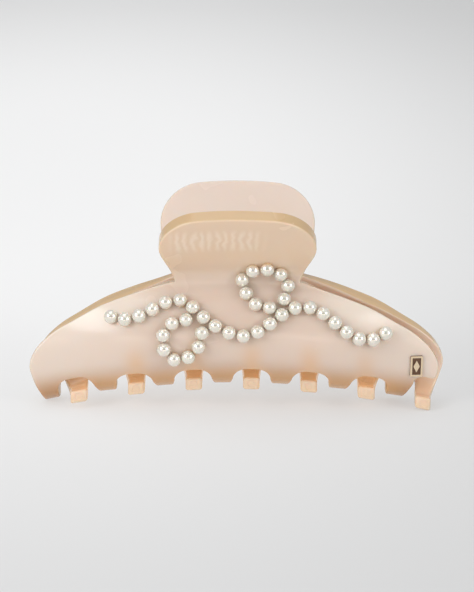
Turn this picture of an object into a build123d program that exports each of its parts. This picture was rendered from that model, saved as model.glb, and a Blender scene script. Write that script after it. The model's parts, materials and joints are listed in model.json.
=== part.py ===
from build123d import *
import math
import os

# Hair claw clip. Millimetres, +X along the clip, +Z up, the decorated front jaw on the -Y side.
# Both jaws are one moulding: the back jaw is the front one turned half a turn about Z.
# Heights below are measured from the tip of the middle teeth. The end teeth hang lower, and at
# the end everything is lifted so that they stand on z = 0.

# Skin of a jaw, followed from a tooth's tip up the outside of the wall
wall = 3.4
tooth_reach = 6.2  # how far a tooth's tip passes the middle plane
finger_run = 3.7  # level, straight stretch of a tooth
belly_low_radius = 14.0
belly_high_radius = 18.0
belly_high_turn = 42.0  # degrees by which the upper belly turns in towards the waist
waist_radius = 6.0
handle_lean = 40.0  # degrees from upright
handle_rise = 20.6  # slant length of the handle's flat

# Plan of the wall, and how much lower it hangs towards the ends
clip_length = 109.0  # one jaw; the pair is a little longer, see body_shift
end_droop = 6.4
bulge_start = 22.0  # |x| where the belly starts to flatten
bulge_end = clip_length / 2 - 1.8  # |x| where it is flattest
bulge_loss = 0.35  # share of the belly's depth that is lost there

# Outline seen from the front
body_shift = -0.8  # the wings sit a little to one side of the handle
neck_half = 16.4
neck_drop = 4.4  # below the foot of the handle's flat
neck_corner_radius = 1.4
handle_half = 25.1  # where the lines of the top edge and of the side would cross
handle_crown = 1.8  # how much lower than the middle of the top edge that crossing is
handle_corner_radius = 11.0
handle_top_tilt = 26.0  # degrees between the cut top edge and the level
wing_line = [(0.41, 27.7), (0.53, 25.5), (0.665, 22.5), (0.78, 18.8), (0.893, 14.8), (0.97, 10.3)]
wing_tip = (1.0, 6.2)  # as wing_line: share of half the length, and height
tooth_end_line = [(0.982, 1.5), (0.935, -5.2), (0.92, -9.0)]
open_end_line = [(0.995, 4.4), (0.968, 1.6), (0.915, 0.6), (0.9, -9.0)]

# Teeth and the notches between them
tooth_count = 7
end_share = 0.1  # of a pitch, left over at the open end
tooth_pitch = clip_length / (tooth_count + end_share)
tooth_tip_width = 4.45
tooth_root_width = 6.55
notch_room = 3.0  # over the other jaw's tooth lying in the notch
open_notch_room = 4.7  # the same in the notch that runs out at the end of the jaw
notch_height = wall + notch_room
open_notch_height = wall + open_notch_room
notch_foot = tooth_pitch - tooth_tip_width
notch_top = tooth_pitch - tooth_root_width  # before rounding
notch_radius = 3.6
open_notch_radius = 2.4
tooth_lean = 1.5  # teeth lean to the middle by this share of the droop's slope
dimple_radius = 1.0  # shallow moulding mark in the end of a tooth
dimple_depth = 0.2

# Hinge: two ears on each jaw, side by side with the other jaw's, and one pin
hinge_rise = 2.5  # over the foot of the handle's flat
pin_radius = 0.9
running_clearance = 0.06
ear_radius = 2.4
ear_root_radius = 1.3
ear_width = 2.3
ear_gap = 0.25
ear_start = 8.0  # |x| where the inner ear starts
pin_head_radius = 1.7
pin_head_height = 0.8
pin_tail_radius = 1.25
pin_end_gap = 0.1

# Torsion spring round the pin, with a leg on the inside of each handle
wire_radius = 0.55
spring_bore_gap = 0.5  # between the pin and the inside of the coil
spring_turns = 6
spring_turn_gap = 0.15
leg_reach = 10.5  # how far up the handle a leg touches it
leg_gap = 0.03
bend_swell = 0.02  # how much thicker the wire is where the coil turns into a leg

# Pearls: domes with a flat back, glued on shallow round seats
pearl_radius = 1.85
pearl_flat = 1.2  # from a pearl's centre to its flat back
seat_depth = 0.2
seat_room = 0.19  # round the dome where it enters its seat
seat_radius = math.sqrt(pearl_radius**2 - (pearl_flat - seat_depth) ** 2) + seat_room
pearl_gap = 0.06
line_pitch = 3.76  # pearl pitch that the lines below are drawn for
line_middle = (0.0, 20.0)  # they shrink and grow with the pearls about this point
strand_line = [
    (-33.1, 20.2), (-29.2, 19.9), (-22.0, 22.6), (-14.8, 24.6), (-8.8, 20.8), (-2.2, 17.2),
    (1.5, 16.4), (8.6, 19.4), (15.3, 23.0), (19.3, 23.0), (25.6, 19.5), (31.9, 15.2), (39.0, 16.0),
]
strand_pearls = 22
low_loop_line = [(-9.3, 17.1), (-10.4, 13.3), (-16.5, 10.1), (-19.8, 14.8), (-17.2, 19.3), (-13.5, 20.2)]
low_loop_pearls = 8
high_loop_line = [
    (12.3, 24.9), (13.4, 28.1), (12.0, 31.7), (8.0, 34.1), (3.8, 33.3), (1.2, 30.0), (2.4, 26.1), (8.5, 23.1),
]
high_loop_pearls = 9

# Badge: a small metal frame on two pegs
badge_inset = 6.8  # from the end of the jaw to its middle
badge_rise = 6.6  # height of its middle
badge_width = 3.3
badge_height = 5.8
badge_thickness = 0.8
badge_sink = 0.35
badge_rim = 0.5
badge_recess = 0.35
badge_lozenge = 1.7  # across the raised lozenge in the recess
peg_radius = 0.4
peg_length = 1.2
peg_spacing = 3.4
fit_gap = 0.05

profile_step = 2.2
fine_step = 0.2
station_count = 21
station_overhang = 3.0  # the wall is made this much longer than the clip, then trimmed
through = 60.0  # longer than the clip is deep


def bulge(x):
    share = min(max((abs(x) - bulge_start) / (bulge_end - bulge_start), 0), 1)
    return 1 - bulge_loss * math.sin(share * math.pi / 2) ** 2


def droop(x):
    return end_droop * (2 * x / clip_length) ** 2


def skin_runs():
    """The profile's runs as (length, turn in degrees). A straight run turns by 0."""
    low = (belly_low_radius * math.pi / 2, 90.0)
    high = (belly_high_radius * math.radians(belly_high_turn), belly_high_turn)
    waist_turn = belly_high_turn + handle_lean
    waist = (waist_radius * math.radians(waist_turn), -waist_turn)
    return [(finger_run, 0.0), low, high, waist, (handle_rise, 0.0)]


def profile(step):
    """Points (y, z, heading) up the outer skin at the middle of the clip."""
    y, z, heading = tooth_reach, 0.0, 0.0
    points = [(y, z, heading)]
    for length, turn in skin_runs():
        count = math.ceil(length / step)
        for _ in range(count):
            course = math.radians(heading + turn / count / 2)
            y -= math.cos(course) * length / count
            z += math.sin(course) * length / count
            heading += turn / count
            points.append((y, z, heading))
    return points


def inner_point(point):
    """The point of the inner skin that faces a profile point."""
    y, z, heading = point
    along = math.radians(heading)
    return Vector(0, y + wall * math.sin(along), z + wall * math.cos(along))


fine_profile = profile(fine_step)
handle_foot = fine_profile[-1][1] - handle_rise * math.cos(math.radians(handle_lean))
neck_height = handle_foot - neck_drop
hinge_height = handle_foot + hinge_rise


def skin_point(x, height):
    """The outer skin at x and height, as a vector."""
    level = height + droop(x)
    for low, high in zip(fine_profile, fine_profile[1:]):
        if low[1] < high[1] and level <= high[1]:
            share = (level - low[1]) / (high[1] - low[1])
            y = low[0] + share * (high[0] - low[0])
            break
    return Vector(x, tooth_reach - (tooth_reach - y) * bulge(x), height)


def skin_plane(x, height):
    """A plane that touches the outer skin, its normal pointing out of the plastic."""
    along_x = skin_point(x + fine_step, height) - skin_point(x - fine_step, height)
    along_z = skin_point(x, height + fine_step) - skin_point(x, height - fine_step)
    return Plane(skin_point(x, height), x_dir=along_x, z_dir=along_x.cross(along_z))


def section(x):
    """The wall's cross-section at x, as a closed wire."""
    flat = bulge(x)
    outer = []
    inner = []
    for y, z, heading in profile(profile_step):
        along = math.radians(heading)
        normal = Vector(0, math.sin(along), flat * math.cos(along)).normalized()
        point = Vector(x, tooth_reach - (tooth_reach - y) * flat, z - droop(x))
        outer.append(point)
        inner.append(point + normal * wall)
    inner.reverse()
    top = Line(outer[-1], inner[0])
    tip = Line(inner[-1], outer[0])
    return Wire([Spline(*outer), top, Spline(*inner), tip])


def wall_solid():
    reach = clip_length / 2 + station_overhang
    step = 2 * reach / (station_count - 1)
    return Solid.make_loft([section(i * step - reach) for i in range(station_count)])


def wing_prism():
    """Wings, ends and neck, seen from the front and cut straight through."""
    half = clip_length / 2

    def place(points, side):
        return [(side * share * half + body_shift, height) for share, height in points]

    left_neck = (-neck_half, neck_height)
    right_neck = (neck_half, neck_height)
    neck_top = neck_height + wall
    tooth_side = place(tooth_end_line, -1)
    open_side = place(open_end_line, 1)
    left_top = [left_neck] + place(wing_line, -1) + place([wing_tip], -1) + tooth_side[:1]
    right_top = [right_neck] + place(wing_line, 1) + place([wing_tip], 1) + open_side[:-1]
    with BuildSketch(Plane.XZ) as outline:
        with BuildLine():
            Line((-neck_half, neck_top), left_neck)
            Spline(*left_top)
            Polyline(*tooth_side, open_side[-1], open_side[-2])
            Spline(*right_top)
            Polyline(right_neck, (neck_half, neck_top), (-neck_half, neck_top))
        make_face()
        corners = [v for v in outline.vertices() if abs(v.Y - neck_height) < fit_gap]
        fillet(corners, neck_corner_radius)
    return extrude(outline.sketch, amount=through / 2, both=True)


def handle_prism():
    """The handle's outline, cut through along the tilt of its top edge."""
    top_y, top_z, _ = fine_profile[-1]
    tilt = math.radians(handle_top_tilt)
    cut_plane = Plane((0, top_y, top_z), x_dir=(1, 0, 0), z_dir=(0, -math.cos(tilt), -math.sin(tilt)))
    neck = cut_plane.to_local_coords(skin_point(0, neck_height))
    with BuildSketch(cut_plane) as outline:
        with BuildLine():
            Polyline(
                (-neck_half, neck.Y), (-handle_half, -handle_crown), (0, 0),
                (handle_half, -handle_crown), (neck_half, neck.Y), (-neck_half, neck.Y),
            )
        make_face()
        outer = [v for v in outline.vertices() if abs(abs(v.X) - handle_half) < fit_gap]
        fillet(outer, handle_corner_radius)
        fillet(outline.vertices().sort_by(Axis.Y)[-1], through)
    return extrude(outline.sketch, amount=through / 2, both=True)


def tooth_places():
    middle = (tooth_count - 1) / 2
    return [(i - middle - 0.25) * tooth_pitch for i in range(tooth_count)]


def notch_prism(x, open_end):
    """One arched notch, leaning with the comb line. The open one runs out at the end."""
    height = open_notch_height if open_end else notch_height
    radius = open_notch_radius if open_end else notch_radius
    slope = math.degrees(math.atan(droop(x + 0.5) - droop(x - 0.5)))
    taper = (notch_foot - notch_top) / 2
    foot_half = notch_foot / 2 + taper
    top_half = notch_top / 2
    frame = Plane.XZ * Pos(x, -droop(x)) * Rot(0, 0, -slope * tooth_lean)
    with BuildSketch() as arch:
        with BuildLine():
            Polyline(
                (-foot_half, -height), (-top_half, height), (top_half, height), (foot_half, -height),
                close=True,
            )
        make_face()
        fillet(arch.vertices().group_by(Axis.Y)[-1], radius)
        if open_end:
            with Locations((notch_foot / 2, -height / 2)):
                Rectangle(notch_foot, height * 2)
    return extrude(frame * arch.sketch, amount=through / 2, both=True)


def dimple(x):
    spot = Plane((x, tooth_reach, wall / 2 - droop(x)), x_dir=(1, 0, 0), z_dir=(0, 1, 0))
    return spot * Cylinder(dimple_radius, 2 * dimple_depth)


def ear_root():
    """The middle of the wall where its inner skin comes closest to the pin."""
    pivot = Vector(0, 0, hinge_height)
    nearest = min(fine_profile, key=lambda point: (inner_point(point) - pivot).length)
    outside = Vector(0, nearest[0], nearest[1])
    return (outside + inner_point(nearest)) / 2


def ear(x_start):
    root = ear_root()
    with BuildSketch(Plane.YZ.offset(x_start)) as shape:
        with Locations((0, hinge_height)):
            Circle(ear_radius)
        with Locations((root.Y, root.Z)):
            Circle(ear_root_radius)
        make_hull()
    return extrude(shape.sketch, amount=ear_width)


def hinge_bore():
    bore = Cylinder(pin_radius + running_clearance, through)
    return Pos(0, 0, hinge_height) * Rot(0, 90, 0) * bore


def jaw():
    body = wall_solid() & (wing_prism() + handle_prism())
    for x in tooth_places():
        body -= notch_prism(x + tooth_pitch / 2, x == tooth_places()[-1])
        body -= dimple(x)
    far_ear = -(ear_start + 2 * ear_width + ear_gap)
    body += ear(ear_start)
    body += ear(far_ear)
    return body - hinge_bore()


def hinge_pin():
    reach = ear_start + 2 * ear_width + ear_gap
    tail_length = pin_end_gap + pin_head_height
    shank = Cylinder(pin_radius, 2 * reach + pin_end_gap)
    head = Pos(0, 0, reach + pin_head_height / 2) * Cylinder(pin_head_radius, pin_head_height)
    head = fillet(head.edges().group_by(Axis.Z)[-1], pin_head_height / 2)
    tail = Pos(0, 0, -reach - pin_end_gap - pin_head_height / 2) * Cylinder(pin_tail_radius, pin_head_height)
    tail = fillet(tail.edges().group_by(Axis.Z)[0], tail_length / 3)
    pin = Pos(0, 0, -pin_end_gap / 2) * shank + head + tail
    return Pos(0, 0, hinge_height) * Rot(0, 90, 0) * pin


def torsion_spring():
    """Coil about the pin. Each end runs straight up to the inside of its handle."""
    coil_radius = pin_radius + spring_bore_gap + wire_radius
    pitch = 2 * wire_radius + spring_turn_gap
    pivot = Vector(0, 0, hinge_height)
    lean = math.radians(handle_lean)
    up = Vector(0, -math.sin(lean), math.cos(lean))
    inward = Vector(0, math.cos(lean), math.sin(lean))
    face_gap = (pivot - inner_point(fine_profile[-1])).dot(inward)
    end = up * leg_reach - inward * (face_gap - wire_radius - leg_gap)
    end_angle = math.atan2(end.Z, end.Y)
    start_angle = end_angle + math.acos(coil_radius / end.length)
    start = Vector(0, math.cos(start_angle), math.sin(start_angle)) * coil_radius
    extra = (math.pi - 2 * start_angle) % (2 * math.pi)
    turns = spring_turns + extra / (2 * math.pi)
    length = turns * pitch
    coil = Helix(pitch, length, coil_radius)
    section_plane = Plane(coil @ 0, z_dir=coil % 0)
    wound = sweep(section_plane * Circle(wire_radius), path=coil, is_frenet=True)
    # the helix starts on its own X axis: lay its axis along X, then turn it to the front leg
    laid = Plane((-length / 2, 0, 0), x_dir=(0, 1, 0), z_dir=(1, 0, 0)) * wound
    spring = laid.rotate(Axis.X, math.degrees(start_angle))
    for side in (-1, 1):
        shift = Vector(side * length / 2, 0, 0)
        root = Vector(0, -side * start.Y, start.Z) + shift
        tip = Vector(0, -side * end.Y, end.Z) + shift
        leg = Plane(root, z_dir=tip - root) * Pos(0, 0, (tip - root).length / 2)
        straight = leg * Cylinder(wire_radius, (tip - root).length)
        spring += straight + Pos(root) * Sphere(wire_radius + bend_swell)
    return Pos(pivot) * spring


def pearl_planes(line, count):
    """Seats for touching pearls, evenly spaced over the skin along a line of (x, height)."""
    growth = (2 * pearl_radius + pearl_gap) / line_pitch
    middle_x, middle_height = line_middle
    path = Spline(*[
        (middle_x + growth * (x - middle_x), 0, middle_height + growth * (height - middle_height))
        for x, height in line
    ])
    samples = 60 * count
    planes = []
    for i in range(samples + 1):
        spot = path @ (i / samples)
        planes.append(skin_plane(spot.X, spot.Z))
    centre_rise = pearl_flat - seat_depth
    centres = [plane.origin + plane.z_dir * centre_rise for plane in planes]
    walked = [0.0]
    for before, after in zip(centres, centres[1:]):
        walked.append(walked[-1] + (after - before).length)
    seats = []
    for i in range(count):
        goal = walked[-1] * i / (count - 1)
        nearest = min(range(samples + 1), key=lambda k: abs(walked[k] - goal))
        seats.append(planes[nearest])
    return seats


def pearl():
    whole = Sphere(pearl_radius)
    dome_room = Pos(0, 0, pearl_radius - pearl_flat) * Box(through, through, 2 * pearl_radius)
    return Pos(0, 0, pearl_flat - seat_depth) * (whole & dome_room)


def seat_cut():
    height = 2 * pearl_radius
    return Pos(0, 0, height / 2 - seat_depth) * Cylinder(seat_radius, height)


def badge():
    """Framed plate in its own plane, with a raised lozenge in the recess and two pegs."""
    thickness = Pos(0, 0, badge_thickness / 2 - badge_sink)
    plate = thickness * Box(badge_width, badge_height, badge_thickness)
    plate = fillet(plate.edges().filter_by(Axis.Z), badge_rim / 2)
    top = badge_thickness - badge_sink
    window = Box(badge_width - 2 * badge_rim, badge_height - 2 * badge_rim, 2 * badge_recess)
    plate -= Pos(0, 0, top) * window
    lozenge = RegularPolygon(badge_lozenge / 2, 4, rotation=0)
    tall = scale(lozenge, by=(1, 2, 1))
    plate += Pos(0, 0, top - badge_recess) * extrude(tall, badge_recess)
    for side in (-1, 1):
        peg = Cylinder(peg_radius, peg_length + badge_sink)
        plate += Pos(0, side * peg_spacing / 2, -(peg_length + badge_sink) / 2) * peg
    return plate


def badge_cut():
    pocket = Box(badge_width + 2 * fit_gap, badge_height + 2 * fit_gap, 2 * badge_thickness)
    cut = Pos(0, 0, badge_thickness - badge_sink) * pocket
    for side in (-1, 1):
        hole = Cylinder(peg_radius + fit_gap, peg_length + badge_sink + fit_gap)
        cut += Pos(0, side * peg_spacing / 2, -(peg_length + badge_sink + fit_gap) / 2) * hole
    return cut


moulding = jaw()
back_jaw = moulding.rotate(Axis.Z, 180)
front_jaw = moulding
seats = pearl_planes(strand_line, strand_pearls)
seats += pearl_planes(low_loop_line, low_loop_pearls)
seats += pearl_planes(high_loop_line, high_loop_pearls)
for seat in seats:
    front_jaw -= seat * seat_cut()
badge_plane = skin_plane(clip_length / 2 - badge_inset, badge_rise)
front_jaw -= badge_plane * badge_cut()

nodes = {
    "front_jaw": front_jaw,
    "back_jaw": back_jaw,
    "hinge_pin": hinge_pin(),
    "torsion_spring": torsion_spring(),
    "badge": badge_plane * badge(),
}
for number, seat in enumerate(seats, start=1):
    nodes[f"pearl_{number:02d}"] = seat * pearl()

lift = -back_jaw.bounding_box().min.Z
os.makedirs("parts", exist_ok=True)
for name, shape in nodes.items():
    export_step(Pos(0, 0, lift) * shape, f"parts/{name}.step")
print("hinge axis at z", round(lift + hinge_height, 3))
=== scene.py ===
import json
import math

import bpy
import numpy as np
from mathutils import Matrix, Vector
from mathutils.geometry import delaunay_2d_cdt


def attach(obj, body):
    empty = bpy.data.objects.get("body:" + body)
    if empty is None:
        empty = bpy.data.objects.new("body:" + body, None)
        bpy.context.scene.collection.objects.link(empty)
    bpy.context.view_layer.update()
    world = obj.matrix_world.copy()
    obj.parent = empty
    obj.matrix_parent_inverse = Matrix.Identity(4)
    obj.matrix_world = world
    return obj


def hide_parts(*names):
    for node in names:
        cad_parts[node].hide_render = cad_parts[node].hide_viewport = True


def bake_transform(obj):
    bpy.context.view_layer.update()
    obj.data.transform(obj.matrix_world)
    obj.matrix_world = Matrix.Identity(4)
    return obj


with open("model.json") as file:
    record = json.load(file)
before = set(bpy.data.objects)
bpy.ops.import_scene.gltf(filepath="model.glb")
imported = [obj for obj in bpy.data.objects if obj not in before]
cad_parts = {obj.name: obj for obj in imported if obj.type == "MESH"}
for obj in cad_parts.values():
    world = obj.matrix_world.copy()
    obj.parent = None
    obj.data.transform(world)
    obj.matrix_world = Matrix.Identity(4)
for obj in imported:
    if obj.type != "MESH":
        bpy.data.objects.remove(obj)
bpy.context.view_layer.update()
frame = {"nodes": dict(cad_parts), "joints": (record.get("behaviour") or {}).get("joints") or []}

mm = 0.001
scene = bpy.context.scene


def newObject(name, mesh, body, material):
    piece = bpy.data.objects.new(name, mesh)
    scene.collection.objects.link(piece)
    mesh.materials.append(material)
    if body:
        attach(piece, body)
    return piece


def meshFrom(name, verts, faces):
    mesh = bpy.data.meshes.new(name)
    mesh.from_pydata([tuple(v) for v in verts], [], [tuple(f) for f in faces])
    mesh.validate()
    mesh.polygons.foreach_set("use_smooth", [True] * len(mesh.polygons))
    return mesh


def addNode(tree, kind, settings=None, inputs=None, output=0):
    # one node: its settings first, then a value or a link for each socket that is named
    node = tree.nodes.new("ShaderNode" + kind)
    for key, value in (settings or {}).items():
        setattr(node, key, value)
    for key, value in (inputs or {}).items():
        if isinstance(value, Sock):
            tree.links.new(value.socket, node.inputs[key])
        elif value is not None:
            node.inputs[key].default_value = value
    return Sock(tree, node.outputs[output]) if len(node.outputs) else None


class Sock:
    # one socket of a node tree; sums and products add the Math nodes they need
    def __init__(self, tree, socket):
        self.tree = tree
        self.socket = socket

    def math(self, operation, *values):
        return addNode(self.tree, "Math", {"operation": operation}, dict(enumerate(values)))

    def __add__(self, other):
        return self.math("ADD", self, other)

    def __radd__(self, other):
        return self.math("ADD", other, self)

    def __sub__(self, other):
        return self.math("SUBTRACT", self, other)

    def __rsub__(self, other):
        return self.math("SUBTRACT", other, self)

    def __mul__(self, other):
        return self.math("MULTIPLY", self, other)

    def __rmul__(self, other):
        return self.math("MULTIPLY", other, self)

    def __pow__(self, other):
        return self.math("POWER", self, other)

    def __rpow__(self, other):
        return self.math("POWER", other, self)

    def __abs__(self):
        return self.math("ABSOLUTE", self)


class Paint:
    # a material and the few ways that its nodes are made
    def __init__(self, name):
        self.material = bpy.data.materials.new(name)
        self.material.use_nodes = True
        self.tree = self.material.node_tree
        self.tree.nodes.clear()

    def node(self, kind, settings=None, inputs=None, output=0):
        return addNode(self.tree, kind, settings, inputs, output)

    def mix(self, factor, first, second):
        # colours, either plain or from other nodes
        first, second = (color if isinstance(color, Sock) else (*color, 1) for color in (first, second))
        return self.node("Mix", {"data_type": "RGBA"}, {0: factor, 6: first, 7: second}, 2)

    def ramp(self, value, low, high):
        # 0 at low and 1 at high, eased, either way round
        eased = self.node("MapRange", {"interpolation_type": "SMOOTHSTEP"}, {
            "Value": value, "From Min": min(low, high), "From Max": max(low, high)})
        return 1 - eased if low > high else eased

    def attribute(self, name):
        return self.node("Attribute", {"attribute_name": name}, output="Fac")

    def noise(self, where, scale, detail=2.0):
        return self.node("TexNoise", {}, {"Vector": where, "Scale": scale, "Detail": detail})

    def place(self):
        # the point on the piece in metres, whole and as x, y and z
        coords = self.node("TexCoord", output="Object")
        parts = [self.node("SeparateXYZ", {}, {0: coords}, axis) for axis in "XYZ"]
        return coords, *parts

    def bump(self, height, strength, distance, over=None):
        return self.node("Bump", {}, {"Height": height, "Strength": strength, "Distance": distance, "Normal": over})

    def finish(self, inputs):
        self.node("OutputMaterial", {}, {"Surface": self.node("BsdfPrincipled", {}, inputs)})
        return self.material


jawShape = {
    "wall": 3.4, "reach": 6.2, "fingerRun": 3.7,
    "bellyLow": 14.0, "bellyHigh": 18.0, "highTurn": 42.0, "waist": 6.0, "lean": 40.0, "rise": 20.6,
    "length": 109.0, "endDroop": 6.4, "bulgeStart": 22.0, "bulgeEnd": 52.7, "bulgeLoss": 0.35,
    "shift": -0.8, "neckHalf": 16.4, "neckHeight": 29.517,
    "handleHalf": 25.1, "crown": 1.8, "cornerRadius": 11.0, "topTilt": 26.0,
    "wing": [(0.41, 27.7), (0.53, 25.5), (0.665, 22.5), (0.78, 18.8), (0.893, 14.8), (0.97, 10.3), (1.0, 6.2)],
    "toothEnd": [(0.982, 1.5), (0.935, -5.2), (0.92, -9.0)],
    "openEnd": [(0.995, 4.4), (0.968, 1.6), (0.915, 0.6)],
    "teeth": 7, "pitch": 15.352, "notchHeight": 6.4, "openHeight": 8.1, "notchFoot": 10.902, "notchTop": 8.802,
    "notchRadius": 3.6, "openRadius": 2.4, "notchBelow": 1.5, "toothLean": 1.5, "rowOffset": 0.25,
    "hingeHeight": 36.417, "edgeRadius": 0.5, "ringSteps": 5, "edgeSpacing": 0.4, "softening": 5,
    "gridSpacing": 1.1, "endZone": 8.0,
}
hingePoint = Vector(frame["joints"][0]["pos_m"])
lift = hingePoint.z / mm - jawShape["hingeHeight"]


def profileTable(shape, step=0.02):
    # the outer skin at the middle of the clip, as arc length, y, z and heading
    runs = [
        (shape["fingerRun"], 0.0), (shape["bellyLow"] * math.pi / 2, 90.0),
        (shape["bellyHigh"] * math.radians(shape["highTurn"]), shape["highTurn"]),
        (shape["waist"] * math.radians(shape["highTurn"] + shape["lean"]), -shape["highTurn"] - shape["lean"]),
        (shape["rise"], 0.0),
    ]
    rows = [(0.0, shape["reach"], 0.0, 0.0)]
    for length, turn in runs:
        count = math.ceil(length / step)
        for _ in range(count):
            s, y, z, heading = rows[-1]
            course = math.radians(heading + turn / count / 2)
            move = length / count
            rows.append((s + move, y - math.cos(course) * move, z + math.sin(course) * move, heading + turn / count))
    return np.array(rows).T


sTable, yTable, zTable, headTable = profileTable(jawShape)


def bulge(x):
    share = np.clip((np.abs(x) - jawShape["bulgeStart"]) / (jawShape["bulgeEnd"] - jawShape["bulgeStart"]), 0, 1)
    return 1 - jawShape["bulgeLoss"] * np.sin(share * math.pi / 2) ** 2


def droop(x):
    return jawShape["endDroop"] * (2 * np.asarray(x) / jawShape["length"]) ** 2


def skin(x, s, depth):
    # points of the wall, depth mm inside its outer skin
    flat = bulge(x)
    heading = np.radians(np.interp(s, sTable, headTable))
    y = jawShape["reach"] - (jawShape["reach"] - np.interp(s, sTable, yTable)) * flat
    z = np.interp(s, sTable, zTable) - droop(x)
    ny, nz = np.sin(heading), flat * np.cos(heading)
    size = np.hypot(ny, nz)
    return np.stack([x, y + ny / size * depth, z + nz / size * depth + lift], axis=-1)


def heightToS(level):
    start = np.searchsorted(sTable, jawShape["fingerRun"])
    return np.interp(level, zTable[start:], sTable[start:])


def smoothPath(points, perSpan=14):
    # a curve through the points, its slope at each taken from its neighbours
    points = np.array(points, float)
    knots = np.concatenate([[0], np.cumsum(np.linalg.norm(np.diff(points, axis=0), axis=1))])
    slopes = np.gradient(points, knots, axis=0, edge_order=2)
    out = []
    for i in range(len(points) - 1):
        width = knots[i + 1] - knots[i]
        for t in np.linspace(0, 1, perSpan, endpoint=False):
            a, b = 2 * t**3 - 3 * t**2 + 1, t**3 - 2 * t**2 + t
            c, d = -2 * t**3 + 3 * t**2, t**3 - t**2
            out.append(a * points[i] + b * width * slopes[i] + c * points[i + 1] + d * width * slopes[i + 1])
    out.append(points[-1])
    return np.array(out)


def handleOutline():
    # right half of the handle from the middle of its top edge down to the neck, as (x, s)
    shape = jawShape
    half, crown, radius = shape["handleHalf"], shape["crown"], shape["cornerRadius"]
    tilt = math.radians(shape["topTilt"])
    along = (yTable - yTable[-1]) * -math.sin(tilt) + (zTable - zTable[-1]) * math.cos(tilt)
    neckY = np.interp(heightToS(shape["neckHeight"]), sTable, along)
    big = (half**2 + crown**2) / (2 * crown)
    side = Vector((half - shape["neckHalf"], -crown - neckY)).normalized()  # up the side
    outward = Vector((side.y, -side.x))
    base = Vector((half, -crown)) - outward * radius  # the corner's centre lies on base - side * t
    rel = base + Vector((0, big))
    b = rel.dot(side)
    t = b - math.sqrt(b * b - rel.length_squared + (big - radius) ** 2)
    if t < 0:
        t = b + math.sqrt(b * b - rel.length_squared + (big - radius) ** 2)
    centre = base - side * t
    crownDir = (centre + Vector((0, big))).normalized()
    crownAngle = math.atan2(crownDir.x, crownDir.y)
    points = [(big * math.sin(a), big * math.cos(a) - big) for a in np.linspace(0, crownAngle, 24)]
    points += [
        (centre.x + radius * math.cos(a), centre.y + radius * math.sin(a))
        for a in np.linspace(math.pi / 2 - crownAngle, math.atan2(outward.y, outward.x), 24)[1:]
    ]
    points.append((shape["neckHalf"], neckY))
    points = np.array(points)
    first = np.searchsorted(sTable, heightToS(20.0))
    return np.stack([points[:, 0], np.interp(points[:, 1], along[first:], sTable[first:])], axis=-1)


def sideOutline(side, ends):
    # the wing from the neck outwards and down the end, as (x, z)
    half = jawShape["length"] / 2
    points = [(side * jawShape["neckHalf"], jawShape["neckHeight"])]
    points += [(side * share * half + jawShape["shift"], z) for share, z in jawShape["wing"] + ends]
    return smoothPath(points)


def notchOutline(middle, openEnd):
    # an arch from its left foot over the top to its right foot, as (x, z)
    shape = jawShape
    height = shape["openHeight"] if openEnd else shape["notchHeight"]
    taper = (shape["notchTop"] - shape["notchFoot"]) / 2 / shape["notchHeight"]
    radius = shape["openRadius"] if openEnd else shape["notchRadius"]
    flankAngle = math.atan(-taper)
    # the corner circle touches the top line and the flank
    cornerX = shape["notchTop"] / 2 - radius * math.tan((math.pi / 2 - flankAngle) / 2)
    flankQ = np.linspace(-shape["notchBelow"], height - radius * (1 + math.sin(flankAngle)), 40)
    flank = [(shape["notchFoot"] / 2 + taper * q, q) for q in flankQ]
    angles = np.linspace(-flankAngle, math.pi / 2, 16)
    corner = [(cornerX + radius * math.cos(a), height - radius + radius * math.sin(a)) for a in angles]
    right = flank + corner
    left = [(-p, q) for p, q in right]
    top = [(p, height) for p in np.linspace(-cornerX, cornerX, 9)[1:-1]]
    if openEnd:
        top = [(p, height) for p in np.linspace(-cornerX, shape["notchFoot"], 40)[1:]]
        path = np.array(left + top)
    else:
        path = np.array(left + top + right[::-1])
    slope = droop(middle + 0.5) - droop(middle - 0.5)
    lean = math.atan(slope) * shape["toothLean"]
    x = middle + path[:, 0] * math.cos(lean) + path[:, 1] * math.sin(lean)
    z = -droop(middle) - path[:, 0] * math.sin(lean) + path[:, 1] * math.cos(lean)
    return np.stack([x, z], axis=-1)


def toSkin(path):
    # (x, z) to (x, s), keeping what lies above the level of the teeth
    level = path[:, 1] + droop(path[:, 0])
    keep = level > 0.02
    return np.stack([path[keep, 0], heightToS(level[keep])], axis=-1)


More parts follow.
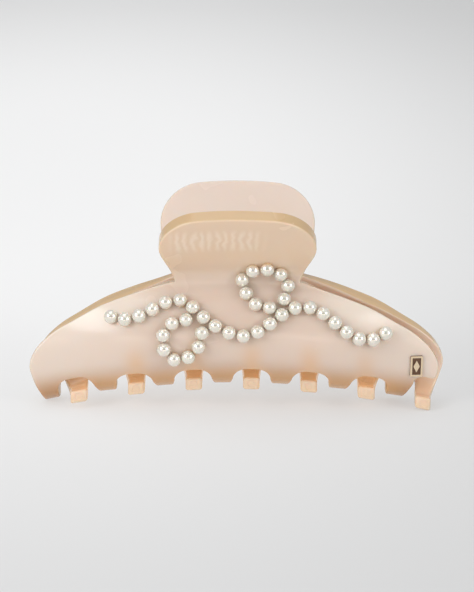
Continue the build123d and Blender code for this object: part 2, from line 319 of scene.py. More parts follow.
def jawOutline():
    shape = jawShape
    handle = handleOutline()
    left = toSkin(sideOutline(-1, shape["toothEnd"]))
    right = sideOutline(1, shape["openEnd"])
    middleTooth = (shape["teeth"] - 1) / 2 + shape["rowOffset"]  # the row stands off the middle, so the jaws mesh
    teeth = [(i - middleTooth) * shape["pitch"] for i in range(shape["teeth"])]
    path = [np.array([[-x, s] for x, s in handle]), left]
    tipPoint = left[-1, 0]
    path.append(np.array([[tipPoint, shape["fingerRun"]], [tipPoint, 0]]))
    for tooth in teeth[:-1]:
        arch = toSkin(notchOutline(tooth + shape["pitch"] / 2, False))
        path.append(np.array([[arch[0, 0], 0], [arch[0, 0], shape["fingerRun"]]]))
        path.append(arch)
        path.append(np.array([[arch[-1, 0], shape["fingerRun"]], [arch[-1, 0], 0]]))
    lastArch = notchOutline(teeth[-1] + shape["pitch"] / 2, True)
    lower = right[right[:, 1] < shape["endZone"]]
    lower = lower[np.argsort(lower[:, 0])]
    edgeZ = np.interp(lastArch[:, 0], lower[:, 0], lower[:, 1], left=-99)
    past = lastArch[:, 0] > teeth[-1] + shape["pitch"] / 4
    meet = int(np.argmax(past & (edgeZ > lastArch[:, 1])))  # where the last arch runs out through the end
    arch = toSkin(lastArch[:meet])
    path.append(np.array([[arch[0, 0], 0], [arch[0, 0], shape["fingerRun"]]]))
    path.append(arch)
    meetX = lastArch[meet, 0]
    rightUp = np.array([p for p in right[::-1] if p[1] > shape["endZone"] or p[0] > meetX])
    path.append(toSkin(rightUp))
    path.append(handle[::-1][:-1])
    return np.concatenate(path)


def resample(path, spacing):
    closed = np.concatenate([path, path[:1]])
    steps = np.linalg.norm(np.diff(closed, axis=0), axis=1)
    keep = np.concatenate([[True], steps > 1e-6])
    closed = closed[keep]
    walked = np.concatenate([[0], np.cumsum(np.linalg.norm(np.diff(closed, axis=0), axis=1))])
    count = int(walked[-1] / spacing)
    goals = np.linspace(0, walked[-1], count, endpoint=False)
    return np.stack([np.interp(goals, walked, closed[:, i]) for i in range(2)], axis=-1)


def soften(loop, times):
    for _ in range(times):
        loop = loop * 0.5 + (np.roll(loop, 1, axis=0) + np.roll(loop, -1, axis=0)) * 0.25
    return loop


def outwardOf(loop):
    tangent = np.roll(loop, -1, axis=0) - np.roll(loop, 1, axis=0)
    tangent /= np.linalg.norm(tangent, axis=1)[:, None]
    area = np.sum(loop[:, 0] * np.roll(loop[:, 1], -1) - loop[:, 1] * np.roll(loop[:, 0], -1))
    normal = np.stack([tangent[:, 1], -tangent[:, 0]], axis=-1)
    return normal if area > 0 else -normal


def insideOf(loop, points):
    x, y = points[:, 0][:, None], points[:, 1][:, None]
    x1, y1 = loop[:, 0], loop[:, 1]
    x2, y2 = np.roll(x1, -1), np.roll(y1, -1)
    crosses = ((y1 > y) != (y2 > y)) & (x < (x2 - x1) * (y - y1) / (y2 - y1 + 1e-12) + x1)
    return crosses.sum(axis=1) % 2 == 1


def wallPoints(points, depth, outer):
    inset = depth if outer else jawShape["wall"] - depth
    return skin(points[:, 0], points[:, 1], inset)


def wallNormals(points, outward, angle, outer):
    inset = 0.0 if outer else jawShape["wall"]
    x, s = points[:, 0], points[:, 1]
    near = 0.05
    alongX = skin(x + near, s, inset) - skin(x - near, s, inset)
    alongS = skin(x, s + near, inset) - skin(x, s - near, inset)
    alongX /= np.linalg.norm(alongX, axis=1)[:, None]
    alongS /= np.linalg.norm(alongS, axis=1)[:, None]
    face = np.cross(alongX, alongS)
    face /= np.linalg.norm(face, axis=1)[:, None]
    if not outer:
        face = -face
    if outward is None:
        return face
    edge = alongX * outward[:, :1] + alongS * outward[:, 1:]
    edge /= np.linalg.norm(edge, axis=1)[:, None]
    return face * math.sin(angle) + edge * math.cos(angle)


def markPoints(mesh, name, values):
    mesh.attributes.new(name, "FLOAT", "POINT").data.foreach_set("value", np.asarray(values, np.float32))


def jawMesh(name):
    shape = jawShape
    loop = soften(resample(jawOutline(), shape["edgeSpacing"]), shape["softening"])
    loop = resample(loop, shape["edgeSpacing"])
    outward = outwardOf(loop)
    count = len(loop)
    radius, steps = shape["edgeRadius"], shape["ringSteps"]
    rings = []
    for k in range(steps + 1):
        angle = math.pi / 2 * k / steps
        rings.append((loop - outward * radius * (1 - math.cos(angle)), radius * (1 - math.sin(angle)), angle))
    last = rings[-1][0]
    spacing = shape["gridSpacing"]
    gridX = np.arange(last[:, 0].min(), last[:, 0].max(), spacing)
    gridS = np.arange(last[:, 1].min(), last[:, 1].max(), spacing)
    grid = np.array([(x + (0.5 * spacing if j % 2 else 0), s) for j, s in enumerate(gridS) for x in gridX])
    grid = grid[insideOf(last, grid)]
    gap = np.array([np.min(np.sum((last - p) ** 2, axis=1)) for p in grid])
    grid = grid[gap > (0.55 * spacing) ** 2]
    flatPoints = [Vector(p) for p in last] + [Vector(p) for p in grid]
    edges = [(i, (i + 1) % count) for i in range(count)]
    got = delaunay_2d_cdt(flatPoints, edges, [], 0, 1e-6, True)
    origin = [ids[0] for ids in got[3]]
    allPoints = np.concatenate([last, grid])
    triangles = np.array([[origin[i] for i in face] for face in got[2]])
    triangles = triangles[insideOf(last, allPoints[triangles].mean(axis=1))].tolist()
    verts, normals = [], []
    for outer in (True, False):
        for ring, depth, angle in rings:
            verts.append(wallPoints(ring, depth, outer))
            normals.append(wallNormals(ring, outward, angle, outer))
        verts.append(wallPoints(grid, 0.0, outer))
        normals.append(wallNormals(grid, None, math.pi / 2, outer))
    sideSize = count * (steps + 1) + len(grid)
    faces = []
    area = np.sum(loop[:, 0] * np.roll(loop[:, 1], -1) - loop[:, 1] * np.roll(loop[:, 0], -1))
    turn = 1 if area > 0 else -1

    def add(face, flip):
        faces.append(face[::-1] if flip else face)

    def ringIndex(side, k, i):
        return side * sideSize + k * count + i % count

    for side in (0, 1):
        for k in range(steps):
            for i in range(count):
                near = [ringIndex(side, k, i), ringIndex(side, k, i + 1)]
                far = [ringIndex(side, k + 1, i + 1), ringIndex(side, k + 1, i)]
                add(near + far, (side == 1) == (turn > 0))
        base = side * sideSize + steps * count
        for face in triangles:
            a, b, c = [allPoints[i] for i in face]
            ccw = (b[0] - a[0]) * (c[1] - a[1]) - (b[1] - a[1]) * (c[0] - a[0]) > 0
            add([base + i for i in face], (side == 1) == ccw)
    for i in range(count):
        add([ringIndex(0, 0, i), ringIndex(1, 0, i), ringIndex(1, 0, i + 1), ringIndex(0, 0, i + 1)], turn < 0)
    verts = np.concatenate(verts) * mm
    normals = np.concatenate(normals)
    mesh = meshFrom(name, verts, faces)
    mesh.normals_split_custom_set_from_vertices([tuple(n) for n in normals])
    ringShares = np.concatenate([np.full(count, 1 - k / steps) for k in range(steps + 1)] + [np.zeros(len(grid))])
    markPoints(mesh, "rim", np.tile(ringShares, 2))  # 1 on the cut edge, 0 on the faces
    markPoints(mesh, "inner", np.repeat([0.0, 1.0], sideSize))
    return mesh


# where each tint of the plastic comes in, from the first value to the second:
# heights over the teeth's tips in mm, places along the clip and across it in metres
tintZone = {
    "ends": (0.018, 0.054), "wingLow": (17, 24), "wingHigh": (34, 27), "wingSide": (0.016, 0.032),
    "handle": (27, 38), "teeth": (11, 2.5), "tipLevel": (3.8, 2.8), "tipFace": (0.0052, 0.0060),
    "streakHigh": (17, 9), "streakLow": (4, 7), "streakSide": (0.042, 0.03), "inside": (0.3, 0.9), "rim": (0.35, 1.0),
    "ribLow": (38.5, 41), "ribHigh": (47, 44.5), "ribLeft": (-0.019, -0.016), "ribRight": (0.009, 0.003),
    "innerGlow": (34, 28), "glowLevel": (9, 3.5), "glowSide": (0.047, 0.04), "mark": (0.8, 1.1),
}


def plasticPaint(name, turn, look):
    # turn is -1 on the back jaw, which is the front one turned half round
    paint = Paint(name)
    coords, x, y, z = paint.place()
    x, y = x * turn, y * turn

    def zone(value, key):
        return paint.ramp(value, *tintZone[key])

    across = x * (2000 / jawShape["length"])
    level = z * 1000 - lift + across * across * jawShape["endDroop"]  # height over the teeth's tips, in mm
    cloud = paint.noise(coords, look["cloudScale"], 3.0)
    body = paint.mix(cloud, look["bodyCool"], look["bodyWarm"])
    side = abs(x)
    # painted light: the plastic lighter towards the ends of the clip
    body = paint.mix(zone(side, "ends") * look["endLightShare"], body, look["ends"])
    # painted highlight: a whitish haze on the upper wings
    wings = zone(level, "wingLow") * zone(level, "wingHigh") * zone(side, "wingSide")
    body = paint.mix(wings * look["wingHighlightShare"], body, look["wings"])
    body = paint.mix(zone(level, "handle"), body, look["handle"])
    # painted shade: darker orange towards the teeth, whose undersides get less light
    body = paint.mix(zone(level, "teeth") * look["toothShadeShare"], body, look["teeth"])
    # painted light: the end faces of the teeth get a lighter, lit tone over the painted shade
    litTipFaces = zone(level, "tipLevel") * zone(y, "tipFace")
    body = paint.mix(litTipFaces, body, look["litTipFaces"])
    # painted shade: a darker warm streak over each tooth of the other jaw, where it shows through the wall
    step = (x * 1000 + jawShape["pitch"] * 2.75) * (2 * math.pi / jawShape["pitch"])
    showThroughShade = (step.math("COSINE", step) * 0.5 + 0.5) ** 3
    showThroughShade = showThroughShade * zone(level, "streakHigh") * zone(level, "streakLow") * zone(side, "streakSide")
    body = paint.mix(showThroughShade * look["showThroughShadeShare"], body, look["showThroughShade"])
    # painted shade: the inner faces tinted a warm, shaded tan
    inside = zone(paint.attribute("inner"), "inside")
    body = paint.mix(inside * look["insideShare"], body, look["inside"])
    # painted shade: the cut edges darker golden tan
    rim = zone(paint.attribute("rim"), "rim")
    body = paint.mix(rim * (1 - litTipFaces) * look["rimShadeShare"], body, look["rim"])
    # painted reflection: pale streaks on the handle, which also make a small bump
    comb = paint.node("TexWave", {"wave_type": "BANDS", "bands_direction": "X"}, {
        "Vector": coords, "Scale": 150.0, "Distortion": 4.5, "Detail": 2.0, "Detail Scale": 1.6}, output="Fac")
    ribsAndReflection = zone(level, "ribLow") * zone(level, "ribHigh") * zone(x, "ribLeft") * zone(x, "ribRight") * (1 - inside)
    body = paint.mix(ribsAndReflection * comb * look["reflectionStreakShare"], body, look["ribsAndReflection"])
    # light that has travelled inside the plastic, strongest in the thin teeth
    glow = paint.mix(inside * zone(level, "innerGlow"), (0, 0, 0), look["innerGlow"])
    glow = paint.mix(zone(level, "glowLevel") * (1 - litTipFaces) * zone(side, "glowSide"), glow, look["glow"])
    grain = paint.noise(coords, 260.0, 2.0)
    height = grain * 0.3 + ribsAndReflection * comb
    # the round moulding mark in the end of each tooth
    teethAlong = x * (1000 / jawShape["pitch"]) + jawShape["teeth"] / 2 + jawShape["rowOffset"]
    aside = (teethAlong.math("FRACT", teethAlong) - 0.5) * jawShape["pitch"]
    up = level - jawShape["wall"] / 2
    mark = zone((aside * aside + up * up) ** 0.5, "mark") * litTipFaces
    return paint.finish({
        "Base Color": body, "Roughness": paint.noise(coords, 90.0, 2.0) * 0.08 + look["roughness"],
        "IOR": 1.49, "Coat Weight": look["coat"], "Coat Roughness": 0.12,
        "Emission Color": glow, "Emission Strength": 1.0,
        "Subsurface Weight": look["scatter"], "Subsurface Radius": (1.0, 0.55, 0.32), "Subsurface Scale": 0.0035,
        "Normal": paint.bump(mark, 0.6, 0.0002, paint.bump(height, 0.12, 0.0003)),
    })


def pearlPaint(look):
    paint = Paint("pearlCoat")
    coords, x, y, z = paint.place()
    cloud = paint.noise(coords, 420.0, 3.0)
    nacre = paint.mix(cloud, look["cream"], look["white"])
    blush = paint.noise(coords, 95.0, 1.0)
    nacre = paint.mix(paint.ramp(blush, 0.5, 0.75) * 0.5, nacre, look["blush"])
    rise = paint.attribute("rise")
    # painted shadow: darker golden tone towards each pearl's base, where it meets the seat
    nacre = paint.mix(paint.ramp(rise, 0.5, 0.15), nacre, look["shade"])
    return paint.finish({
        "Base Color": nacre, "Roughness": cloud * 0.1 + look["roughness"], "Metallic": look["metallic"],
        "Specular IOR Level": 0.7, "Coat Weight": 1.0, "Coat Roughness": 0.06, "Coat IOR": 1.6,
        "Sheen Weight": 0.15, "Subsurface Weight": 0.1, "Subsurface Scale": 0.001,
    })


def metalPaint(name, color, dark, roughness):
    paint = Paint(name)
    coords, x, y, z = paint.place()
    brushed = paint.node("VectorMath", {"operation": "MULTIPLY"}, {0: coords, 1: (300, 2600, 2600)})
    lines = paint.noise(brushed, 1.0, 3.0)
    shade = paint.mix(lines, dark, color)
    return paint.finish({
        "Base Color": shade, "Metallic": 1.0, "Roughness": lines * 0.15 + roughness,
        "Normal": paint.bump(lines, 0.05, 0.0001),
    })


def badgePaint(look, middle, outward):
    # gold, with the floor of the recess darkened as painted shade
    paint = Paint("badgeGold")
    coords, x, y, z = paint.place()
    depth = (x - middle.x) * outward.x + (y - middle.y) * outward.y + (z - middle.z) * outward.z
    floorShare = paint.ramp(depth * 1000, look["recessHigh"], look["recessLow"])
    grain = paint.noise(coords, 1500.0, 2.0)
    goldTone = paint.mix(grain, look["gold"], look["paleGold"])
    return paint.finish({
        "Base Color": paint.mix(floorShare, goldTone, look["recess"]),
        "Metallic": 1 - floorShare * 0.6, "Roughness": grain * 0.1 + floorShare * 0.25 + 0.16,
    })


plasticLook = {
    "cloudScale": 45.0, "bodyCool": (0.665, 0.530, 0.440), "bodyWarm": (0.715, 0.580, 0.490),
    "ends": (0.730, 0.620, 0.530), "endLightShare": 0.9,
    "wings": (0.760, 0.690, 0.600), "wingHighlightShare": 0.6, "handle": (0.800, 0.620, 0.455),
    "teeth": (0.480, 0.240, 0.085), "toothShadeShare": 0.9, "litTipFaces": (0.760, 0.570, 0.400),
    "showThroughShade": (0.700, 0.460, 0.280), "showThroughShadeShare": 0.7,
    "inside": (0.700, 0.500, 0.360), "insideShare": 0.35, "rim": (0.530, 0.365, 0.185), "rimShadeShare": 0.85,
    "ribsAndReflection": (0.900, 0.760, 0.620), "reflectionStreakShare": 0.65, "roughness": 0.22, "scatter": 0.35, "coat": 0.4,
    "glow": (0.07, 0.035, 0.0), "innerGlow": (0.05, 0.03, 0.012),
}
backLook = {  # where the back jaw differs: paler handle, lighter painted shade on the teeth, no painted reflection streaks
    **plasticLook, "handle": (0.690, 0.580, 0.500), "teeth": (0.700, 0.400, 0.190), "inside": (0.70, 0.55, 0.45),
    "glow": (0.25, 0.135, 0.05), "innerGlow": (0.07, 0.04, 0.02), "reflectionStreakShare": 0.0,
}
plastic = plasticPaint("blushFront", 1, plasticLook)
backPlastic = plasticPaint("blushBack", -1, backLook)
pearlLook = {
    "cream": (0.79, 0.74, 0.63), "white": (0.83, 0.815, 0.745), "blush": (0.88, 0.80, 0.715),
    "shade": (0.80, 0.585, 0.335), "roughness": 0.12, "metallic": 0.45,
}
pearlCoat = pearlPaint(pearlLook)
steel = metalPaint("steel", (0.62, 0.61, 0.59), (0.40, 0.40, 0.40), 0.18)
print("materials ready")


def ringEdges(center, far, shape):
    # outline of an ear as distances from the pin, one for each direction
    out = []
    gap = (far - center).length
    axis = math.atan2(far.y - center.y, far.x - center.x)
    spread = math.acos((shape["earRadius"] - shape["rootRadius"]) / gap)
    for a in np.linspace(0, 2 * math.pi, shape["earSides"], endpoint=False):
        turn = abs((a - axis + math.pi) % (2 * math.pi) - math.pi)
        best = shape["earRadius"] if turn >= spread else shape["earRadius"] / math.cos(spread - turn)
        across = gap * math.sin(turn)
        if turn < math.pi / 2 and across < shape["rootRadius"]:
            rootReach = gap * math.cos(turn) + math.sqrt(shape["rootRadius"] ** 2 - across**2)
            best = min(best, rootReach) if turn < spread else best
        out.append((a, best))
    return out


earShape = {
    "earRadius": 2.4, "rootRadius": 1.3, "width": 2.3, "gap": 0.25, "start": 8.0, "bore": 0.96,
    "earSides": 72, "softEdge": 0.3,
}


def earRoot():
    # middle of the wall where the inner skin comes closest to the pin
    height = jawShape["hingeHeight"]
    wall = jawShape["wall"]
    heading = np.radians(headTable)
    innerY, innerZ = yTable + wall * np.sin(heading), zTable + wall * np.cos(heading)
    k = int(np.argmin(np.hypot(innerY, innerZ - height)))
    return Vector(((yTable[k] + innerY[k]) / 2, (zTable[k] + innerZ[k]) / 2))


def earMesh(name, xStart):
    shape = earShape
    center = Vector((0, jawShape["hingeHeight"]))
    rim = ringEdges(center, earRoot(), shape)
    soft, width, bore = shape["softEdge"], shape["width"], shape["bore"]
    rows = [(None, soft * 0.5), ("bevel", 0.0)]  # inset from the rim, or None for the bore, and x
    for k in range(5):
        angle = math.pi / 2 * k / 4
        rows.append((soft * (1 - math.sin(angle)), soft * (1 - math.cos(angle))))
    for k in range(5):
        angle = math.pi / 2 * k / 4
        rows.append((soft * (1 - math.cos(angle)), width - soft * (1 - math.sin(angle))))
    rows += [("bevel", width), (None, width - soft * 0.5)]
    verts, faces = [], []
    for inset, x in rows:
        for angle, reach in rim:
            r = bore if inset is None else bore + soft * 0.4 if inset == "bevel" else reach - inset
            y, z = center.x + r * math.cos(angle), center.y + lift + r * math.sin(angle)
            verts.append(Vector((xStart + x, y, z)) * mm)
    sides = len(rim)
    for j in range(len(rows)):
        k = (j + 1) % len(rows)
        for i in range(sides):
            n = (i + 1) % sides
            faces.append((j * sides + i, k * sides + i, k * sides + n, j * sides + n))
    return meshFrom(name, verts, faces)


def earPair(body, material, turn):
    shape = earShape
    starts = [shape["start"], -(shape["start"] + 2 * shape["width"] + shape["gap"])]
    for side, xStart in zip(("near", "far"), starts):
        mesh = earMesh(f"{body}_ear_{side}", xStart)
        if turn < 0:
            mesh.transform(Matrix.Rotation(math.pi, 4, "Z"))
        newObject(f"{body}_ear_{side}", mesh, body, material)


jaw = jawMesh("front_jaw_shell")
print("jaw mesh", len(jaw.vertices), len(jaw.polygons))
back = jaw.copy()
back.name = "back_jaw_shell"
back.transform(Matrix.Rotation(math.pi, 4, "Z"))
frontJaw = newObject("front_jaw_shell", jaw, "front_half", plastic)
backJaw = newObject("back_jaw_shell", back, "back_half", backPlastic)
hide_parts("front_jaw")
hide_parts("back_jaw")
earPair("front_half", plastic, 1)
earPair("back_half", backPlastic, -1)
print("jaws ready")


def lathe(profile, sides):
    # profile runs from the pole at one end to the pole at the other, as (radius, height)
    verts = [Vector((0, 0, profile[0][1]))]
    around = np.linspace(0, 2 * math.pi, sides, endpoint=False)
    for r, h in profile[1:-1]:
        verts += [Vector((r * math.cos(a), r * math.sin(a), h)) for a in around]
    verts.append(Vector((0, 0, profile[-1][1])))
    faces = [(0, 1 + i, 1 + (i + 1) % sides) for i in range(sides)]
    for j in range(len(profile) - 3):
        a, b = 1 + j * sides, 1 + (j + 1) * sides
        faces += [(a + i, b + i, b + (i + 1) % sides, a + (i + 1) % sides) for i in range(sides)]
    last = len(verts) - 1
    base = 1 + (len(profile) - 3) * sides
    faces += [(last, base + (i + 1) % sides, base + i) for i in range(sides)]
    return verts, faces


pearlShape = {"radius": 1.85, "flat": 1.2, "softEdge": 0.18, "sides": 40, "rings": 18}


def pearlProfile(shape):
    radius, flat, soft = shape["radius"], shape["flat"], shape["softEdge"]
    # the small rounding between dome and back touches both
    reach = math.sqrt((radius - soft) ** 2 - (flat - soft) ** 2)
    stop = math.pi / 2 + math.asin((flat - soft) / (radius - soft))
    points = [(radius * math.sin(a), radius * math.cos(a)) for a in np.linspace(0, stop, shape["rings"])]
    points += [
        (reach + soft * math.sin(a), -flat + soft + soft * math.cos(a)) for a in np.linspace(stop, math.pi, 5)[1:]
    ]
    points += [(reach * 0.5, -flat), (0, -flat)]
    return points


def flatBack(node):
    # middle and direction of the largest flat of a node
    mesh = node.data
    sums = {}
    for polygon in mesh.polygons:
        key = tuple(round(c, 2) for c in polygon.normal)
        area, middle = sums.get(key, (0.0, Vector()))
        sums[key] = (area + polygon.area, middle + Vector(polygon.center) * polygon.area)
    key, (area, middle) = max(sums.items(), key=lambda item: item[1][0])
    normal = node.matrix_world.to_3x3() @ Vector(key).normalized()
    return node.matrix_world @ (middle / area), normal.normalized()


domeVerts, domeFaces = lathe(pearlProfile(pearlShape), pearlShape["sides"])
heights = [v.z for v in domeVerts]
domeRise = [(h - min(heights)) / (max(heights) - min(heights)) for h in heights]
for name in sorted(n for n in frame["nodes"] if n.startswith("pearl")):
    spot, inward = flatBack(frame["nodes"][name])
    center = spot - inward * pearlShape["flat"] * mm
    turned = inward.to_track_quat("-Z", "Y").to_matrix()
    mesh = meshFrom(name + "_dome", [center + turned @ (v * mm) for v in domeVerts], domeFaces)
    markPoints(mesh, "rise", domeRise)
    dome = newObject(name + "_dome", mesh, "front_half", pearlCoat)
    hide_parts(name)
print("pearls ready")


pinShape = {
    "radius": 0.9, "headRadius": 1.7, "headHeight": 0.8, "tailRadius": 1.25, "tailRounding": 0.3, "endGap": 0.1,
    "headEdge": 0.06, "edge": 0.05, "sides": 48,
}
springShape = {
    "wire": 0.55, "boreGap": 0.5, "turns": 6, "turnGap": 0.15, "legReach": 10.5, "legGap": 0.03,
    "sides": 20, "stepsPerTurn": 48, "endSteps": 5,
}


def springPath(shape):
    coilRadius = pinShape["radius"] + shape["boreGap"] + shape["wire"]
    pitch = 2 * shape["wire"] + shape["turnGap"]
    lean = math.radians(jawShape["lean"])
    up = Vector((-math.sin(lean), math.cos(lean)))
    inward = Vector((math.cos(lean), math.sin(lean)))
    heading = math.radians(headTable[-1])
    wall = jawShape["wall"]
    top = Vector((yTable[-1] + wall * math.sin(heading), zTable[-1] + wall * math.cos(heading)))
    faceGap = (Vector((0, jawShape["hingeHeight"])) - top).dot(inward)
    end = up * shape["legReach"] - inward * (faceGap - shape["wire"] - shape["legGap"])
    start = math.atan2(end.y, end.x) + math.acos(coilRadius / end.length)
    extra = (math.pi - 2 * start) % (2 * math.pi)
    turns = shape["turns"] + extra / (2 * math.pi)
    length = turns * pitch
    points = []
    root = Vector((coilRadius * math.cos(start), coilRadius * math.sin(start)))
    for t in np.linspace(0, 1, 12, endpoint=False):
        p = end.lerp(root, t)
        points.append((-length / 2, p.x, p.y))
    steps = int(turns * shape["stepsPerTurn"])
    for k in range(steps + 1):
        a = start + 2 * math.pi * turns * k / steps
        points.append((-length / 2 + length * k / steps, coilRadius * math.cos(a), coilRadius * math.sin(a)))
    for t in np.linspace(1, 0, 12, endpoint=False)[1:].tolist() + [0.0]:
        p = end.lerp(root, t)
        points.append((length / 2, -p.x, p.y))
    path = np.array(points)
    for _ in range(2):  # eases the bends
        path[1:-1] = path[1:-1] * 0.5 + (path[:-2] + path[2:]) * 0.25
    return path, length


def tube(path, radius, sides, endSteps):
    tangents = np.gradient(path, axis=0)
    tangents /= np.linalg.norm(tangents, axis=1)[:, None]
    side = np.cross(tangents[0], (1.0, 0.0, 0.0))
    side /= np.linalg.norm(side)
    rows = []
    for k, (point, tangent) in enumerate(zip(path, tangents)):
        side = side - tangent * np.dot(side, tangent)
        side /= np.linalg.norm(side)
        other = np.cross(tangent, side)
        rows.append((point, tangent, side.copy(), other))
    stations = []
    first, last = rows[0], rows[-1]
    soft = radius * 0.35
    for angle in np.linspace(0, math.pi / 2, endSteps):
        back = soft * math.cos(angle) - soft
        stations.append((first[0] - first[1] * back, radius - soft + soft * math.sin(angle), first))
    for row in rows[1:-1]:
        stations.append((row[0], radius, row))
    for angle in np.linspace(math.pi / 2, 0, endSteps):
        back = soft * math.cos(angle) - soft
        stations.append((last[0] + last[1] * back, radius - soft + soft * math.sin(angle), last))
    verts = []
    angles = np.linspace(0, 2 * math.pi, sides, endpoint=False)
    for middle, r, (_, _, u, v) in stations:
        verts += [middle + (u * math.cos(a) + v * math.sin(a)) * r for a in angles]
    faces = []
    for j in range(len(stations) - 1):
        faces += [
            (j * sides + i, j * sides + (i + 1) % sides, (j + 1) * sides + (i + 1) % sides, (j + 1) * sides + i)
            for i in range(sides)
        ]
    for base, flip in ((0, True), ((len(stations) - 1) * sides, False)):
        middle = len(verts)
        verts.append(np.mean(verts[base:base + sides], axis=0))
        for i in range(sides):
            face = (middle, base + i, base + (i + 1) % sides)
            faces.append(face[::-1] if flip else face)
    return verts, faces


path, springLength = springPath(springShape)
verts, faces = tube(path, springShape["wire"], springShape["sides"], springShape["endSteps"])
hinge = Vector((0, 0, hingePoint.z))
springMesh = meshFrom("spring_wire", [Vector(v) * mm + hinge for v in verts], faces)
spring = newObject("spring_wire", springMesh, None, steel)
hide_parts("torsion_spring")
halfSpring = Vector((springLength / 2 * mm, 0, 0))
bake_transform(spring)


def pinProfile(shape):
    reach = earShape["start"] + 2 * earShape["width"] + earShape["gap"]
    points = [(0, reach + shape["headHeight"])]
    dome = shape["headHeight"] * 0.5
    points += [
        (shape["headRadius"] - dome + dome * math.sin(a), reach + shape["headHeight"] - dome + dome * math.cos(a))
        for a in np.linspace(0, math.pi / 2, 7)
    ]
    edge, radius, head, tail = shape["edge"], shape["radius"], shape["headRadius"], shape["tailRadius"]
    points += [(head, reach + shape["headEdge"]), (head - shape["headEdge"], reach), (radius, reach)]
    tailTop = -reach - shape["endGap"]
    points += [(radius, reach - edge), (radius, tailTop + edge), (radius, tailTop)]
    points += [(tail - edge, tailTop), (tail, tailTop - edge)]
    soft = shape["tailRounding"]
    low = tailTop - shape["headHeight"]
    points += [
        (tail - soft + soft * math.cos(a), low + soft - soft * math.sin(a))
        for a in np.linspace(0, math.pi / 2, 6)
    ]
    points.append((0, low))
    return points


verts, faces = lathe(pinProfile(pinShape), pinShape["sides"])
alongX = Matrix.Rotation(math.pi / 2, 3, "Y")
pin = newObject(
    "hinge_pin_steel", meshFrom("hinge_pin_steel", [hinge + alongX @ (v * mm) for v in verts], faces),
    "back_half", steel,
)
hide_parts("hinge_pin")
print("hinge ready")

badgeLook = {
    "gold": (0.90, 0.69, 0.46), "paleGold": (0.95, 0.79, 0.57), "recess": (0.16, 0.085, 0.05),
    "recessHigh": 0.42, "recessLow": 0.16, "recessDepth": 0.45, "bevel": 0.09,
}
badge = frame["nodes"]["badge"]
badgeSpot, badgeInward = flatBack(badge)
outward = badgeInward if badgeInward.y < 0 else -badgeInward
reachOut = max((badge.matrix_world @ v.co).dot(outward) for v in badge.data.vertices)
middle = badgeSpot + outward * (reachOut - badgeSpot.dot(outward) - badgeLook["recessDepth"] * mm)
badge.data.materials.clear()
badge.data.materials.append(badgePaint(badgeLook, middle, outward))
edge = badge.modifiers.new("soft edges", "BEVEL")
edge.width = badgeLook["bevel"] * mm
edge.segments = 3
edge.limit_method = "ANGLE"
print("badge ready")

studio = {
    "aim": (-0.0001, 0.0, 0.0299), "distance": 0.87, "elevation": 15.0, "fieldOfView": 8.3, "roll": 0.25,
    "floorSize": 4.0, "floor": (0.28, 0.28, 0.28), "glowX": -0.07, "glowY": 0.27,
    "glowNear": (0.62, 0.62, 0.62), "glowFar": (0.34, 0.34, 0.34),
    "worldColor": (0.96, 0.98, 1.0), "worldPower": 0.66,
    "darkSpot": 0.15, "darkInner": 12, "darkOuter": 34, "wallStart": 0.6, "wallBend": 0.8,
}
scene.view_settings.view_transform = "Standard"
camera = bpy.data.objects.new("camera", bpy.data.cameras.new("camera"))
scene.collection.objects.link(camera)
camera.data.sensor_fit = "HORIZONTAL"
camera.data.angle = math.radians(studio["fieldOfView"])
camera.data.clip_end = 20
aim = Vector(studio["aim"])
up = math.radians(studio["elevation"])
toCamera = Vector((0, -math.cos(up), math.sin(up)))
camera.location = aim + toCamera * studio["distance"]
camera.rotation_euler = (math.pi / 2 - up, 0, 0)
camera.rotation_euler.rotate_axis("Z", math.radians(studio["roll"]))
scene.camera = camera


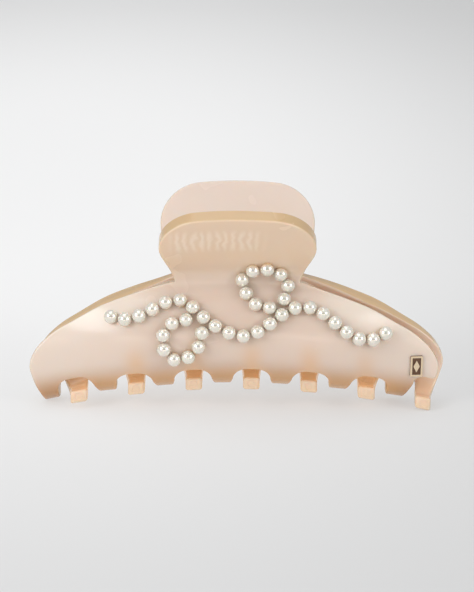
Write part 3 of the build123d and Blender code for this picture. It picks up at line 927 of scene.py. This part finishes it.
def makeWorld():
    # even light from everywhere, dimmer in the part of the room where the camera stands
    world = bpy.data.worlds.new("world")
    scene.world = world
    world.use_nodes = True
    tree = world.node_tree
    tree.nodes.clear()
    direction = addNode(tree, "TexCoord", output="Generated")
    facing = addNode(tree, "VectorMath", {"operation": "DOT_PRODUCT"}, {0: direction, 1: toCamera}, "Value")
    power = addNode(tree, "MapRange", {"interpolation_type": "SMOOTHSTEP"}, {
        "Value": facing, "From Min": math.cos(math.radians(studio["darkOuter"])),
        "From Max": math.cos(math.radians(studio["darkInner"])), "To Min": studio["worldPower"],
        "To Max": studio["worldPower"] * studio["darkSpot"]})
    background = addNode(tree, "Background", {}, {"Color": (*studio["worldColor"], 1), "Strength": power})
    addNode(tree, "OutputWorld", {}, {"Surface": background})


def areaLight(name, location, target, size, power, color=(1, 1, 1)):
    light = bpy.data.lights.new(name, "AREA")
    light.shape = "RECTANGLE"
    light.size, light.size_y = size
    light.energy = power
    light.color = color
    lamp = bpy.data.objects.new(name, light)
    scene.collection.objects.link(lamp)
    lamp.location = location
    lamp.rotation_euler = (Vector(target) - Vector(location)).to_track_quat("-Z", "Y").to_euler()
    return lamp


makeWorld()
areaLight("leftLight", (-0.80, -0.62, 0.50), (0, 0, 0.03), (0.6, 0.6), 5.2)
areaLight("rightLight", (0.85, -0.60, 0.42), (0, 0, 0.03), (0.45, 0.6), 3.4)
areaLight("lowLight", (0.0, -0.6, 0.02), (0, 0, 0.02), (0.9, 0.12), 0.7, (1.0, 0.9, 0.8))
areaLight("topLight", (-0.1, 0.0, 0.95), (0, 0, 0.03), (0.9, 0.5), 1.6)


def backdrop():
    # floor that curves up into a wall behind
    size, start, bend = studio["floorSize"], studio["wallStart"], studio["wallBend"]
    profile = [(-size, 0.0), (start, 0.0)]
    profile += [
        (start + bend * math.sin(a), bend - bend * math.cos(a)) for a in np.linspace(0, math.pi / 2, 24)[1:]
    ]
    profile.append((start + bend, size))
    verts = [(x, y, z) for y, z in profile for x in (-size, size)]
    faces = [(2 * i, 2 * i + 1, 2 * i + 3, 2 * i + 2) for i in range(len(profile) - 1)]
    mesh = meshFrom("floor", verts, faces)
    paint = Paint("floorPaint")
    coords, x, y, z = paint.place()
    across, deep = (x - studio["glowX"]) * 2.2, y - studio["glowY"]
    far = paint.ramp((across * across + deep * deep) ** 0.5, 0.1, 0.6)
    glow = paint.mix(far, studio["glowNear"], studio["glowFar"])
    mesh.materials.append(paint.finish({
        "Base Color": (*studio["floor"], 1), "Roughness": 0.9, "Emission Color": glow, "Emission Strength": 1.0,
    }))
    floor = bpy.data.objects.new("floor", mesh)
    scene.collection.objects.link(floor)


backdrop()
print("studio ready")
